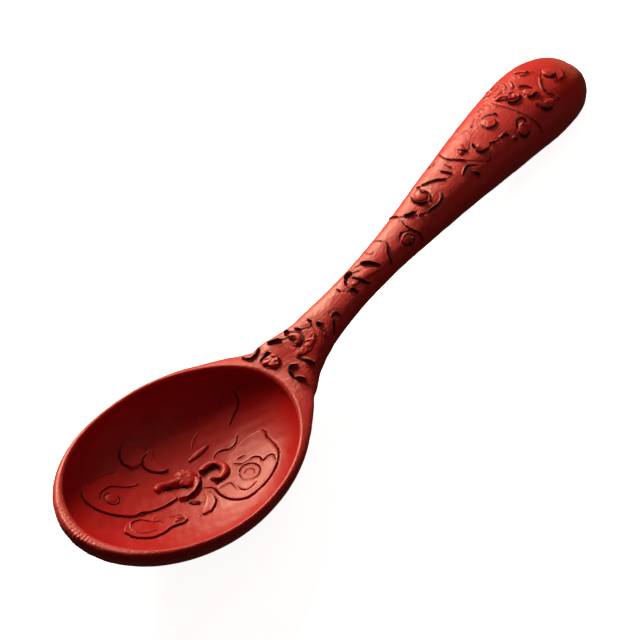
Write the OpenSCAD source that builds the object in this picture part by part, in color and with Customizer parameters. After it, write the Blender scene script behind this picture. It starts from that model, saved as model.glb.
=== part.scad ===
// Carved wooden table spoon with a thick coloured coat and raised plant ornament.
// Built lengthwise: x runs from the bowl's tip to the handle's end, y across, z up from the rim's plane.
// It is then tilted down onto its two resting spots, the bowl's underside and the handle's end.

/* [Bowl] */
// Distance from the tip to the bowl's widest place
bowl_front = 36.1; // [34:0.1:39]
// Distance from the widest place to where the egg outline would close at the neck
bowl_rear = 38.7; // [37:0.1:40]
// Half of the bowl's outer width
bowl_half = 26.9; // [25:0.1:29]
// Depth of the bowl's underside below the rim's plane
bowl_drop = 15.5; // [14:0.5:18]
// Depth of the hollow below the rim's top
hollow_deep = 12.8; // [10:0.2:13]
// Width of the rim band at the tip
rim_tip = 3.3; // [2.8:0.1:3.8]
// Width of the rim band at the sides
rim_side = 1.7; // [1.6:0.1:2.4]
// Distance from the widest place to the hollow's end at the neck
hollow_rear = 34.7; // [33:0.1:35.5]
// Height of the rounded rim above the rim's plane
rim_rise = 1.6; // [1.3:0.1:2]
// Rounding of the rim's inner edge
rim_round = 1; // [0.6:0.1:1.2]
// Rounding of the rim's outer edge
rim_edge = 1.5; // [1.2:0.1:1.6]

/* [Handle] */
// Whole length along the rim's plane
spoon_len = 200; // [190:1:210]
// Length of the rounded end
end_round = 25; // [22:0.5:26]
// Height of the handle's section over its width
section_ratio = 0.8; // [0.7:0.05:0.9]

/* [Coat] */
// Thickness of the coat on the bowl
coat_bowl = 0.45; // [0.3:0.05:0.5]
// Thickness of the coat on the handle, which is deep enough for the incised lines
coat_handle = 1; // [0.8:0.1:1.2]
// Thickness of the coat on the floor of the hollow
coat_floor = 1; // [0.8:0.1:1.2]
// Depth of the worn flats that the spoon rests on
flat_cut = 0.5; // [0.45:0.05:0.6]

/* [Ornament] */
// Height of the broad leaves above the coat
leaf_rise = 0.45; // [0.3:0.05:0.6]
// Height of the flower's arms and heart above the coat
flower_rise = 1.2; // [0.8:0.1:1.4]
// Height of the knobs along the handle above the coat
knob_rise = 0.7; // [0.4:0.1:0.9]

/* [Hidden] */

red = "#a8261e";
deep_red = "#8c1a16";
limewood = "#d9b98a";

// Half width of the handle, and height of its middle line, at places along the spoon.
handle_x = [58, 74, 86, 100, 118, 140, 162, 184, spoon_len];
handle_half = [0, 10.9, 6.6, 5.1, 5.6, 8, 10.6, 12.6, 14.9];
middle_x = [0, 40, 74, 90, 108, 130, 155, 180, spoon_len];
middle_z = [1.5, -1.4, 0, 6, 10.6, 15.8, 21.3, 24.9, 24.6];

// The bowl's section turns into the handle's section between these two places.
turn_from = 70;
turn_to = 96;
// Superellipse powers: bowl's underside, handle's section, plan join of bowl and handle, end cap.
under_power = 1.85;
handle_power = 2.2;
join_power = 2.8;
cap_power = 2.1;
// Behind the widest place the underside rises as a parabola, this much longer than the egg outline.
heel_stretch = 1.2;
// Share of the handle's depth that is carved away under the neck.
neck_slim = 0.5;

tip_steps = 3;
mouth_steps = 22;
handle_steps = 24;
top_columns = 5;
side_columns = 7;
columns = 2*(top_columns + side_columns);
hollow_columns = 12;
stations = tip_steps + mouth_steps + handle_steps;

function clip(v) = min(1, max(0, v));
function smooth(a, b, x) = let(t = clip((x - a)/(b - a))) t*t*(3 - 2*t);
function dome(u) = sqrt(max(0, 1 - u*u));
function blend(a, b, p) = pow(pow(a, p) + pow(b, p), 1/p);

// Smooth curve through the points (xs, ys).
function slope(xs, ys, i) = let(a = max(0, i - 1), b = min(len(xs) - 1, i + 1)) (ys[b] - ys[a])/(xs[b] - xs[a]);
function span_of(xs, x, i=0) = (i >= len(xs) - 2 || x < xs[i + 1]) ? i : span_of(xs, x, i + 1);
function curve(xs, ys, x) =
    let(i = span_of(xs, x), h = xs[i + 1] - xs[i], t = clip((x - xs[i])/h), t2 = t*t, t3 = t2*t)
    (2*t3 - 3*t2 + 1)*ys[i] + (t3 - 2*t2 + t)*h*slope(xs, ys, i)
    + (3*t2 - 2*t3)*ys[i + 1] + (t3 - t2)*h*slope(xs, ys, i + 1);

// The skin, moved inwards by inset c: half width, height above and depth below the middle line.
function egg(x, c) =
    x < bowl_front ? (bowl_front - x)/(bowl_front - c) : (x - bowl_front)/(bowl_rear - c);
function keel_share(x, c) =
    x < bowl_front ? dome(egg(x, c)) : max(0, 1 - pow((x - bowl_front)/(heel_stretch*bowl_rear - c), 2));
function grip(x, c) =
    let(t = clip((x - spoon_len + end_round)/(end_round - c)))
    max(0, curve(handle_x, handle_half, x) - c)*pow(1 - pow(t, cap_power), 1/cap_power);
function half_width(x, c) = blend((bowl_half - c)*dome(egg(x, c)), grip(x, c), join_power);
function below(x, c) =
    blend((bowl_drop - c)*keel_share(x, c), section_ratio*grip(x, c)*(1 - neck_slim*(1 - turned(x))), 2);
function turned(x) = smooth(turn_from, turn_to, x);
function middle(x) = curve(middle_x, middle_z, x);
function low_power(x) = under_power + (handle_power - under_power)*turned(x);
function inset_at(x, coat) = coat*(coat_bowl + (coat_handle - coat_bowl)*turned(x));

// The hollow's outline in plan, moved outwards by g, and a place's share of the way out to it.
mouth_front = bowl_front - rim_tip;
mouth_half = bowl_half - rim_side;
function mouth_len(x, g) = (x < bowl_front ? mouth_front : hollow_rear) + g;
function mouth_y(x, g) = (mouth_half + g)*dome((x - bowl_front)/mouth_len(x, g));
function share_out(x, y, g) = norm([(x - bowl_front)/mouth_len(x, g), y/(mouth_half + g)]);
function distance_out(x, y, g) =
    let(s = share_out(x, y, g), a = mouth_len(x, g), b = mouth_half + g)
    (s - 1)*s/norm([(x - bowl_front)/(a*a), y/(b*b)]);

// Height of the top skin: a rim with a rounded outer and inner edge, which turns into the handle's crown.
function edge_distance(x, y, c) =
    let(e = 0.05, near = max(c, x - e), far = min(spoon_len, x + e))
    max(0, half_width(x, c) - abs(y))/norm([1, (half_width(far, c) - half_width(near, c))/(far - near)]);
function top_z(x, y, c, g) =
    let(k = turned(x), r = clip(abs(y)/max(half_width(x, c), 0.000001)),
        from_edge = clip(edge_distance(x, y, c)/rim_edge), from_hollow = clip(distance_out(x, y, g)/rim_round))
    middle(x) + (rim_rise - c)*dome(1 - from_edge)*(1 - k)
    + section_ratio*grip(x, c)*pow(1 - pow(r, handle_power), 1/handle_power)*k
    - rim_round*(1 - dome(1 - from_hollow));

// One half ring of the skin at station x, from the hollow's edge or the top's middle, out and down to the keel.
function half_ring(x, c, g) =
    let(w = half_width(x, c), edge_y = min(mouth_y(x, g), 0.999*w), q = low_power(x))
    concat(
        [for (i = [0:top_columns]) let(y = edge_y + (w - edge_y)*sin(90*i/top_columns))
            [x, y, top_z(x, y, c, g)]],
        [for (i = [1:side_columns]) let(a = 90*i/side_columns)
            [x, i == side_columns ? 0 : w*pow(cos(a), 2/q), middle(x) - below(x, c)*pow(sin(a), 2/q)]]);
function whole_ring(x, c, g) =
    let(h = half_ring(x, c, g), n = len(h))
    concat(h, [for (i = [1:n - 1]) [x, -h[n - 1 - i][1], h[n - 1 - i][2]]]);

// Stations: close together at the tip, round the hollow's ends and at the handle's end.
function station_x(i, coat) =
    let(c = coat*coat_bowl, x0 = rim_tip - c, x1 = bowl_front + hollow_rear + c, far = spoon_len - coat*coat_handle)
    i < tip_steps ? c + (x0 - c)*(1 - cos(90*i/tip_steps))
    : i <= tip_steps + mouth_steps ?
        let(a = 180*(i - tip_steps)/mouth_steps)
        bowl_front - (a < 90 ? mouth_front + c : hollow_rear + c)*cos(a)
    : x1 + (far - x1)*(1 - cos(180*(i - tip_steps - mouth_steps)/handle_steps))/2;
function skin(coat) =
    [for (i = [0:stations]) let(x = station_x(i, coat)) each whole_ring(x, inset_at(x, coat), coat*coat_bowl)];
finished_skin = skin(0);
core_skin = skin(1);

// The tilt that lays the underside of the bowl and of the handle's end on one plane.
keel = [for (i = [0:stations]) finished_skin[i*(columns + 1) + columns/2]];
tilt = atan(max([for (p = keel) if (p[0] < 60)
    min([for (q = keel) if (q[0] > 150) (q[2] - p[2])/(q[0] - p[0])])]));
function tilted(p) = [p[0]*cos(tilt) + p[2]*sin(tilt), p[1], p[2]*cos(tilt) - p[0]*sin(tilt)];
tilted_x = [for (p = finished_skin) tilted(p)[0]];
shift_x = -(min(tilted_x) + max(tilted_x))/2;
lift_z = -min([for (p = finished_skin) tilted(p)[2]]) - flat_cut;
function place(p) = let(t = tilted(p)) [t[0] + shift_x, t[1], max(0, t[2] + lift_z)];
function place_all(points) = [for (p = points) place(p)];

// Index of a ring point. Closed rings, outside the hollow, end on the point that they start with,
// and each end of the spoon is one point.
function is_open(i) = i > tip_steps && i < tip_steps + mouth_steps;
function ring_id(i, j) =
    (columns + 1)*i + ((i == 0 || i == stations) ? 0 : (j == columns && !is_open(i)) ? 0 : j);
function skin_faces(base, flip) =
    [for (i = [0:stations - 1]) for (j = [0:columns - 1])
        let(a = base + ring_id(i, j), b = base + ring_id(i, j + 1),
            c = base + ring_id(i + 1, j + 1), d = base + ring_id(i + 1, j))
        each [for (f = [[a, b, c], [a, c, d]])
            if (f[0] != f[1] && f[1] != f[2] && f[2] != f[0]) flip ? [f[2], f[1], f[0]] : f]];

// The inside of the hollow: one row for each station inside it, from the +y edge to the -y edge.
function hollow_z(x, y, edge_z, deep, g) = edge_z - deep*dome(min(1, share_out(x, y, g)));
function hollow_row(i, skin_points, deep, g) =
    let(first = skin_points[(columns + 1)*i], x = first[0], y0 = first[1])
    [for (k = [1:hollow_columns - 1])
        let(y = y0*cos(180*k/hollow_columns)) [x, y, hollow_z(x, y, first[2], deep, g)]];
function hollow_points(skin_points, deep, g) =
    [for (i = [tip_steps + 1:tip_steps + mouth_steps - 1]) each hollow_row(i, skin_points, deep, g)];
function hollow_id(i, k, skin_base, inner_base) =
    (k == 0 || i == tip_steps || i == tip_steps + mouth_steps) ? skin_base + (columns + 1)*i
    : k == hollow_columns ? skin_base + (columns + 1)*i + columns
    : inner_base + (hollow_columns - 1)*(i - tip_steps - 1) + k - 1;
function hollow_faces(skin_base, inner_base, flip) =
    [for (i = [tip_steps:tip_steps + mouth_steps - 1]) for (k = [0:hollow_columns - 1])
        let(a = hollow_id(i, k, skin_base, inner_base), b = hollow_id(i, k + 1, skin_base, inner_base),
            c = hollow_id(i + 1, k + 1, skin_base, inner_base), d = hollow_id(i + 1, k, skin_base, inner_base))
        each [for (f = [[a, c, b], [a, d, c]])
            if (f[0] != f[1] && f[1] != f[2] && f[2] != f[0]) flip ? [f[2], f[1], f[0]] : f]];

// The narrow seam between the finished edge of the hollow and the core's edge.
function edge_loop() =
    concat([for (i = [tip_steps:tip_steps + mouth_steps]) (columns + 1)*i],
        [for (i = [tip_steps + mouth_steps - 1:-1:tip_steps + 1]) (columns + 1)*i + columns]);
function seam_faces(base_a, base_b, flip) =
    let(loop = edge_loop(), n = len(loop))
    [for (m = [0:n - 1])
        let(a = base_a + loop[m], b = base_a + loop[(m + 1)%n],
            c = base_b + loop[(m + 1)%n], d = base_b + loop[m])
        each (flip ? [[a, b, c], [a, c, d]] : [[c, b, a], [d, c, a]])];

skin_count = len(finished_skin);
finished_deep = hollow_deep - rim_round;
core_deep = finished_deep + coat_floor - coat_bowl;

module wood_core() {
    inner = hollow_points(core_skin, core_deep, coat_bowl);
    color(limewood)
    polyhedron(place_all(concat(core_skin, inner)),
        concat(skin_faces(0, false), hollow_faces(0, skin_count, false)), convexity=6);
}

module outer_coat() {
    color(red)
    polyhedron(place_all(concat(finished_skin, core_skin)),
        concat(skin_faces(0, false), skin_faces(skin_count, true), seam_faces(0, skin_count, true)),
        convexity=8);
}

module bowl_lining() {
    finished = hollow_points(finished_skin, finished_deep, 0);
    inner = hollow_points(core_skin, core_deep, coat_bowl);
    base = 2*skin_count;
    color(deep_red)
    polyhedron(place_all(concat(finished_skin, core_skin, finished, inner)),
        concat(hollow_faces(0, base, false), hollow_faces(skin_count, base + len(finished), true),
            seam_faces(0, skin_count, false)),
        convexity=8);
}

// Ornament. Each piece is a strip along a path, with a half width at each of the path's points.
// A path's points are [x, y] in plan in the bowl and on the neck, and on the handle
// [x, distance round the section from the top line], positive towards +y.
seat = 0.05;
strip_rows = 7;
strip_columns = 4;

function bowl_at(q) =
    let(edge_z = top_z(q[0], mouth_y(q[0], 0), 0, 0))
    [q[0], q[1], hollow_z(q[0], q[1], edge_z, finished_deep, 0)];
function neck_at(q) = [q[0], q[1], top_z(q[0], q[1], 0, 0)];
round_share = 0.9;
function handle_at(q) =
    let(x = q[0], w = half_width(x, 0), a = q[1]/(round_share*w)*180/PI, p = 2/handle_power)
    [x, w*sign(a)*pow(abs(sin(a)), p), middle(x) + section_ratio*w*sign(cos(a))*pow(abs(cos(a)), p)];
function ground_at(kind, q) = kind == "bowl" ? bowl_at(q) : kind == "neck" ? neck_at(q) : handle_at(q);
function normal_at(kind, q) =
    let(e = 0.2, n = cross(ground_at(kind, q + [e, 0]) - ground_at(kind, q - [e, 0]),
        ground_at(kind, q + [0, e]) - ground_at(kind, q - [0, e]))) n/norm(n);

// Smooth value at t along a list of points or numbers.
function tangent(list, i) = let(a = max(0, i - 1), b = min(len(list) - 1, i + 1)) (list[b] - list[a])/(b - a);
function along(list, t) =
    let(i = min(len(list) - 2, floor(t)), u = t - i, u2 = u*u, u3 = u2*u)
    (2*u3 - 3*u2 + 1)*list[i] + (u3 - 2*u2 + u)*tangent(list, i)
    + (3*u2 - 2*u3)*list[i + 1] + (u3 - u2)*tangent(list, i + 1);

module strip(kind, path, half, rise) {
    last = len(path) - 1;
    e = 0.02;
    grid = [for (r = [0:strip_rows])
        let(t = last*r/strip_rows, mid = along(path, t), w = max(0.2, along(half, t)),
            way = along(path, min(last, t + e)) - along(path, max(0, t - e)),
            side = [-way[1], way[0]]/norm(way), end_share = (r == 0 || r == strip_rows) ? 0.5 : 1)
        for (k = [0:strip_columns])
            let(u = 2*k/strip_columns - 1, q = mid + side*w*u, n = normal_at(kind, q), p = ground_at(kind, q))
            [p - seat*n, p + rise*end_share*sqrt(1 - 0.8*u*u)*n]];
    wide = strip_columns + 1;
    count = len(grid);
    function low(r, k) = r*wide + k;
    function high(r, k) = count + r*wide + k;
    rim = concat([for (k = [0:strip_columns]) [0, k]], [for (r = [1:strip_rows]) [r, strip_columns]],
        [for (k = [strip_columns - 1:-1:0]) [strip_rows, k]], [for (r = [strip_rows - 1:-1:1]) [r, 0]]);
    quads = [for (r = [0:strip_rows - 1]) for (k = [0:strip_columns - 1]) each
        [[high(r, k), high(r, k + 1), high(r + 1, k + 1)], [high(r, k), high(r + 1, k + 1), high(r + 1, k)],
        [low(r, k), low(r + 1, k + 1), low(r, k + 1)], [low(r, k), low(r + 1, k), low(r + 1, k + 1)]]];
    walls = [for (m = [0:len(rim) - 1])
        let(a = rim[m], b = rim[(m + 1)%len(rim)])
        each [[low(a[0], a[1]), low(b[0], b[1]), high(b[0], b[1])],
            [low(a[0], a[1]), high(b[0], b[1]), high(a[0], a[1])]]];
    polyhedron(place_all(concat([for (g = grid) g[0]], [for (g = grid) g[1]])), concat(quads, walls), convexity=4);
}

// An oval, as a strip along its long axis.
module oval(kind, centre, long, wide, turn, rise) {
    steps = [-75, -45, -15, 15, 45, 75];
    strip(kind, [for (a = steps) centre + long*sin(a)*[cos(turn), sin(turn)]],
        [for (a = steps) wide*cos(a)], rise);
}

module flower_heart() color(red) oval("bowl", [39, 2.5], 3.2, 2.6, -35, flower_rise);
module flower_left_arm() color(red)
    strip("bowl", [[30.1, 4.1], [32, 5.2], [34.6, 3.9], [37.2, 2.6]], [1.1, 1.3, 1.2, 1.1], flower_rise);
module flower_right_scroll() color(red)
    strip("bowl", [[41.9, 2.7], [44.7, 2.7], [47.6, 1.1], [48.6, -2], [47.3, -4.6], [45, -4.4]],
        [0.8, 0.9, 1.1, 1.2, 1.2, 0.9], flower_rise);
module flower_tail() color(red)
    strip("bowl", [[41.2, 0.3], [39.5, -1.7], [37.3, -2.7], [34.7, -2.6], [32.7, -1.4]],
        [1.1, 1.1, 1, 0.8, 0.5], 0.8*flower_rise);
module sliver_leaf() color(red)
    strip("bowl", [[43.7, 5.5], [47, 5.2], [50.2, 5]], [0.4, 0.9, 0.2], leaf_rise);
module crescent_petal() color(red)
    strip("bowl", [[39, 14.4], [36.3, 12.8], [35.7, 10.2], [37.6, 7.4]], [0.4, 1.7, 1.8, 0.4], leaf_rise);
module round_petal() color(red) oval("bowl", [34.4, 16.5], 3.4, 2.8, 10, leaf_rise);
module left_leaf() color(red)
    strip("bowl", [[14.1, 11.6], [18.7, 9.3], [24.8, 7.6], [29.5, 3], [32.5, -0.7]], [1.6, 6, 6.6, 3.4, 0.4], leaf_rise);
module left_leaf_eye() color(red) oval("bowl", [19.5, 9.2], 2, 1.8, 0, 2*leaf_rise);
module lower_leaf() color(red)
    strip("bowl", [[15, -1.7], [18.2, -3.8], [22.3, -5.4], [26.4, -6.5], [29.8, -7.3]],
        [0.8, 2.8, 2.6, 1.5, 0.4], leaf_rise);
module lower_petals() color(red) {
    strip("bowl", [[39.3, -5.2], [38.2, -7.6], [35.8, -9.2], [33.1, -9.9]], [0.5, 1.6, 1.6, 0.4], leaf_rise);
    strip("bowl", [[33.8, -3.8], [34.8, -4.9], [35.4, -6.3]], [0.5, 0.9, 0.3], leaf_rise);
}
module right_leaf() color(red)
    strip("bowl", [[40.3, -4.6], [43.5, -9.9], [49.2, -11.5], [55.4, -9.2], [61.1, -4.1]],
        [0.6, 4, 5.6, 5, 0.5], leaf_rise);
module right_leaf_eye() color(red) oval("bowl", [50.7, -9.9], 2, 1.5, 60, 2*leaf_rise);
module neck_boss() color(red) oval("neck", [74.4, 3.7], 2.4, 2, 110, knob_rise);
module neck_scroll() color(red)
    strip("neck", [[81.3, 3.6], [82.6, 2.4], [82.2, 0.8], [81, 0.9]], [0.5, 0.8, 0.8, 0.5], knob_rise);
module neck_leaf() color(red)
    strip("neck", [[78.7, -1.3], [80.5, -3.2], [82.2, -3.5], [84.4, -2.6]], [0.4, 1.4, 1.6, 0.4], 0.5*knob_rise);
module grip_leaf() color(red)
    strip("handle", [[101.3, -0.4], [104.2, -0.5], [107.3, -1.1], [109.9, -2.7]], [0.4, 1.2, 1.4, 0.4], 0.5*knob_rise);
module grip_eye() color(red) oval("handle", [120.9, -3.1], 1.5, 1.3, 0, 0.6*knob_rise);
module spiral_knob() color(red) oval("handle", [132.9, 1.6], 1.9, 1.7, 20, knob_rise);
module bud_pair() color(red) {
    oval("handle", [149.9, 1], 1.7, 0.9, 30, 0.7*knob_rise);
    strip("handle", [[152.6, -0.3], [153.4, -2.3], [154.1, -4.3]], [0.7, 1.1, 0.4], 0.8*knob_rise);
}
module round_knob() color(red) oval("handle", [160.8, 0.2], 2.1, 1.8, -20, knob_rise);
module eye_scroll() color(red) oval("handle", [165.7, -7.5], 1.8, 1.4, 60, 0.8*knob_rise);
module feather_leaf() color(red)
    strip("handle", [[168.1, 3], [170.5, 1.6], [172.1, -0.5], [172.3, -2.3]], [0.5, 1.5, 1.3, 0.4], knob_rise);
module lip_knob() color(red) oval("handle", [175.3, -2], 2.3, 1.2, -55, knob_rise);
module lower_lip() color(red)
    strip("handle", [[173.7, -4.6], [175.6, -6.1], [177.4, -7.4], [179.1, -9]], [0.5, 1.5, 1.6, 0.5], knob_rise);
module end_leaf() color(red)
    strip("handle", [[179.7, 5.7], [181.3, 4.5], [181.8, 2.2]], [0.6, 1.4, 0.4], 0.7*knob_rise);
module end_knob() color(red) oval("handle", [185, -1.2], 1.8, 1.5, 0, knob_rise);

wood_core();
outer_coat();
bowl_lining();
flower_heart();
flower_left_arm();
flower_right_scroll();
flower_tail();
sliver_leaf();
crescent_petal();
round_petal();
left_leaf();
left_leaf_eye();
lower_leaf();
lower_petals();
right_leaf();
right_leaf_eye();
neck_boss();
neck_scroll();
neck_leaf();
grip_leaf();
grip_eye();
spiral_knob();
bud_pair();
round_knob();
eye_scroll();
feather_leaf();
lip_knob();
lower_lip();
end_leaf();
end_knob();
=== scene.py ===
"""Carved wooden table spoon: a thick satin red coat with raised and incised plant ornament.

The shape is worked out in millimetres lengthwise, as in the CAD: x runs from the bowl's tip to the
handle's end, y across and z up from the rim's plane. place() then lays it down on its two resting
spots in the part's frame, in metres.
"""
import math

import bpy
import numpy as np
from mathutils import Matrix, Vector


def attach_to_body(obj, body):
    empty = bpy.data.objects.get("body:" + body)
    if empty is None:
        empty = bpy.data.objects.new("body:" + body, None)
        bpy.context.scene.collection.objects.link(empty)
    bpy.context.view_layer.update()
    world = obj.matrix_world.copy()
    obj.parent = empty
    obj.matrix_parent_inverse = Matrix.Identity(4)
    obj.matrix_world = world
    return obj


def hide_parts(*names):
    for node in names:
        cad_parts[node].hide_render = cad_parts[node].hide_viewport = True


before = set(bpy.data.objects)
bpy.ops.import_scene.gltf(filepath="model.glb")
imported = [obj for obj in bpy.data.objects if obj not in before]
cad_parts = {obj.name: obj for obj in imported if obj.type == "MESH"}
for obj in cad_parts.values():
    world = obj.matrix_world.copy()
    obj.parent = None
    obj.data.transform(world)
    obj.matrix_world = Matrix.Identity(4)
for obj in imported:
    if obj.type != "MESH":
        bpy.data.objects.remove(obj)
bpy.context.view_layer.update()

MM = 0.001

# Bowl and handle, in millimetres. These values are the CAD's.
BOWL_FRONT = 36.1
BOWL_REAR = 38.7
BOWL_HALF = 26.9
BOWL_DROP = 15.5
HOLLOW_DEEP = 12.8
RIM_TIP = 3.3
RIM_SIDE = 1.7
HOLLOW_REAR = 34.7
RIM_RISE = 1.6
RIM_ROUND = 1.0
RIM_EDGE = 1.5
SPOON_LEN = 200.0
END_ROUND = 25.0
SECTION_RATIO = 0.8
FLAT_CUT = 0.5
HANDLE_X = np.array([58, 74, 86, 100, 118, 140, 162, 184, SPOON_LEN], float)
HANDLE_HALF = np.array([0, 10.9, 6.6, 5.1, 5.6, 8, 10.6, 12.6, 14.9])
MIDDLE_X = np.array([0, 40, 74, 90, 108, 130, 155, 180, SPOON_LEN], float)
MIDDLE_Z = np.array([1.5, -1.4, 0, 6, 10.6, 15.8, 21.3, 24.9, 24.6])
TURN_FROM = 70.0
TURN_TO = 96.0
UNDER_POWER = 1.85
HANDLE_POWER = 2.2
JOIN_POWER = 2.8
CAP_POWER = 2.1
HEEL_STRETCH = 1.2
NECK_SLIM = 0.5
MOUTH_FRONT = BOWL_FRONT - RIM_TIP
MOUTH_HALF = BOWL_HALF - RIM_SIDE
FINISHED_DEEP = HOLLOW_DEEP - RIM_ROUND
ROUND_SHARE = 0.9

# Hand work round the neck that the CAD leaves out: the rim's outer edge is rolled over a wider band,
# and the flank on the -y side is pared by a share of its width, most at PARE_MOST.
NECK_EDGE = 6.5
NECK_EDGE_FROM = 48.0
NECK_EDGE_TO = 74.0
PARE_SHARE = 0.13
PARE_FROM = 74.0
PARE_MOST = 80.0
PARE_TO = 87.0

# How far the wooden core is set back under the cut lines, and over which stretch that begins.
CORE_BACK = 1.2
CORE_BACK_BEFORE = 8.0
CORE_BACK_AFTER = 4.0

# Heights of the ornament above the coat, how far its rim and its base go under the coat's face, and
# the least half width of a strip.
LEAF_RISE = 0.45
FLOWER_RISE = 1.2
KNOB_RISE = 0.7
SINK_TOP = 0.12
SINK_BOTTOM = 0.4
LEAST_HALF = 0.25

# The hand-made surface: how many ripples make it uneven, heights and lengths of its waves and
# dimples, length of its grit, and the grit's height outside and inside the bowl.
RIPPLE_COUNT = 12
WAVE_RISE = 0.07
WAVE_LEN = 9.0
DIMPLE_RISE = 0.035
DIMPLE_LEN = 3.2
GRIT_LEN = 1.1
COAT_GRIT = 0.012
LINING_GRIT = 0.004

# How far from the hollow's outline the coat's cuts and its waves come to their full height.
CUT_FADE = 0.6
WAVE_FADE = 2.5

# The keel rests on the table before the first of these places and after the second.
BOWL_REST = 60.0
END_REST = 150.0

# Mesh steps, and how much closer together the side's columns are near its upper edge.
TIP_STEPS = 18
MOUTH_STEPS = 160
GRIP_STEPS = 530
END_STEPS = 60
END_LEN = 6.0
TOP_COLUMNS = 46
SIDE_COLUMNS = 18
SIDE_SPREAD = 1.4
LINING_RINGS = 130
LINE_STEPS = 14
STRIP_STEPS = 16
STRIP_COLUMNS = 21
PAD_STEPS = 18


# ---------- the spoon's shape, the CAD's but for the hand work round the neck ----------


def clip(v):
    return np.clip(v, 0.0, 1.0)


def smooth(a, b, x):
    """0 up to a, 1 from b on, with an even start and end between them."""
    t = clip((x - a) / (b - a))
    return t * t * (3 - 2 * t)


def dome(u):
    """Height of a unit circle at u."""
    return np.sqrt(np.maximum(0.0, 1 - u * u))


def blend(a, b, power):
    return (a**power + b**power) ** (1 / power)


def hermite(values, slopes, i, t, step):
    """Smooth values between neighbours i and i + 1, at share t of the step."""
    t2, t3 = t * t, t * t * t
    return (
        (2 * t3 - 3 * t2 + 1) * values[i]
        + (t3 - 2 * t2 + t) * step * slopes[i]
        + (3 * t2 - 2 * t3) * values[i + 1]
        + (t3 - t2) * step * slopes[i + 1]
    )


def neighbours(count):
    index = np.arange(count)
    return np.maximum(index - 1, 0), np.minimum(index + 1, count - 1)


def curve(xs, ys, x):
    """Smooth curve through the points (xs, ys)."""
    before, after = neighbours(len(xs))
    slopes = (ys[after] - ys[before]) / (xs[after] - xs[before])
    i = np.clip(np.searchsorted(xs, x, side="right") - 1, 0, len(xs) - 2)
    step = xs[i + 1] - xs[i]
    return hermite(ys, slopes, i, clip((x - xs[i]) / step), step)


def along(points, t):
    """Smooth place at t along a list of points, where point number i is at t = i."""
    points = np.asarray(points, float)
    before, after = neighbours(len(points))
    share = (after - before).astype(float)
    slopes = (points[after] - points[before]) / share.reshape(-1, *[1] * (points.ndim - 1))
    i = np.minimum(len(points) - 2, np.floor(t).astype(int))
    u = (t - i).reshape(-1, *[1] * (points.ndim - 1))
    return hermite(points, slopes, i, u, 1.0)


def egg(x):
    """Distance from the bowl's widest place, as a share of its front or rear length."""
    return np.where(x < BOWL_FRONT, (BOWL_FRONT - x) / BOWL_FRONT, (x - BOWL_FRONT) / BOWL_REAR)


def keel_share(x):
    heel = np.maximum(0.0, 1 - ((x - BOWL_FRONT) / (HEEL_STRETCH * BOWL_REAR)) ** 2)
    return np.where(x < BOWL_FRONT, dome(egg(x)), heel)


def grip(x):
    """Half width of the handle, down to 0 at its round end."""
    t = clip((x - SPOON_LEN + END_ROUND) / END_ROUND)
    return np.maximum(0.0, curve(HANDLE_X, HANDLE_HALF, x)) * (1 - t**CAP_POWER) ** (1 / CAP_POWER)


def turned(x):
    """0 where the section is the bowl's, 1 where it is the handle's."""
    return smooth(TURN_FROM, TURN_TO, x)


def half_width(x):
    return blend(BOWL_HALF * dome(egg(x)), grip(x), JOIN_POWER)


def below(x):
    """Depth of the keel below the middle line."""
    slim = 1 - NECK_SLIM * (1 - turned(x))
    return blend(BOWL_DROP * keel_share(x), SECTION_RATIO * grip(x) * slim, 2)


def middle(x):
    return curve(MIDDLE_X, MIDDLE_Z, x)


def mouth_len(x):
    return np.where(x < BOWL_FRONT, MOUTH_FRONT, HOLLOW_REAR)


def mouth_y(x):
    """Half width of the hollow."""
    return MOUTH_HALF * dome((x - BOWL_FRONT) / mouth_len(x))


def share_out(x, y):
    """0 in the middle of the hollow, 1 on its outline."""
    return np.hypot((x - BOWL_FRONT) / mouth_len(x), y / MOUTH_HALF)


def distance_out(x, y):
    """Distance outwards from the hollow's outline, below 0 inside it."""
    share = share_out(x, y)
    bend = np.hypot((x - BOWL_FRONT) / mouth_len(x) ** 2, y / MOUTH_HALF**2)
    return (share - 1) * share / np.maximum(bend, 1e-9)


def edge_distance(x, y):
    """Distance inwards from the spoon's outline."""
    near, far = np.maximum(0, x - 0.05), np.minimum(SPOON_LEN, x + 0.05)
    slant = (half_width(far) - half_width(near)) / (far - near)
    return np.maximum(0.0, half_width(x) - np.abs(y)) / np.hypot(1, slant)


def top_z(x, y):
    """Height of the top skin: the rim with its two rounded edges, which turns into the handle's crown."""
    to_handle = turned(x)
    across = clip(np.abs(y) / np.maximum(half_width(x), 1e-6))
    edge = RIM_EDGE + (NECK_EDGE - RIM_EDGE) * smooth(NECK_EDGE_FROM, NECK_EDGE_TO, x)
    rim = RIM_RISE * dome(1 - clip(edge_distance(x, y) / edge)) * (1 - to_handle)
    crown = SECTION_RATIO * grip(x) * (1 - across**HANDLE_POWER) ** (1 / HANDLE_POWER) * to_handle
    fall = RIM_ROUND * (1 - dome(1 - clip(distance_out(x, y) / RIM_ROUND)))
    return middle(x) + rim + crown - fall


def hollow_z(x, y):
    return top_z(x, mouth_y(x)) - FINISHED_DEEP * dome(np.minimum(1, share_out(x, y)))


def ground(kind, spots):
    """Points on the bare surface. Spots are (x, y) in plan in the bowl and on the neck, and on the
    handle (x, distance round the section from the top line, positive towards +y)."""
    x, v = spots[:, 0], spots[:, 1]
    if kind == "bowl":
        return np.stack([x, v, hollow_z(x, v)], 1)
    if kind == "neck":
        return np.stack([x, v, top_z(x, v)], 1)
    wide = half_width(x)
    angle = v / (ROUND_SHARE * wide)
    y = wide * np.sign(angle) * np.abs(np.sin(angle)) ** (2 / HANDLE_POWER)
    up = np.sign(np.cos(angle)) * np.abs(np.cos(angle)) ** (2 / HANDLE_POWER)
    return np.stack([x, y, middle(x) + SECTION_RATIO * wide * up], 1)


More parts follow.
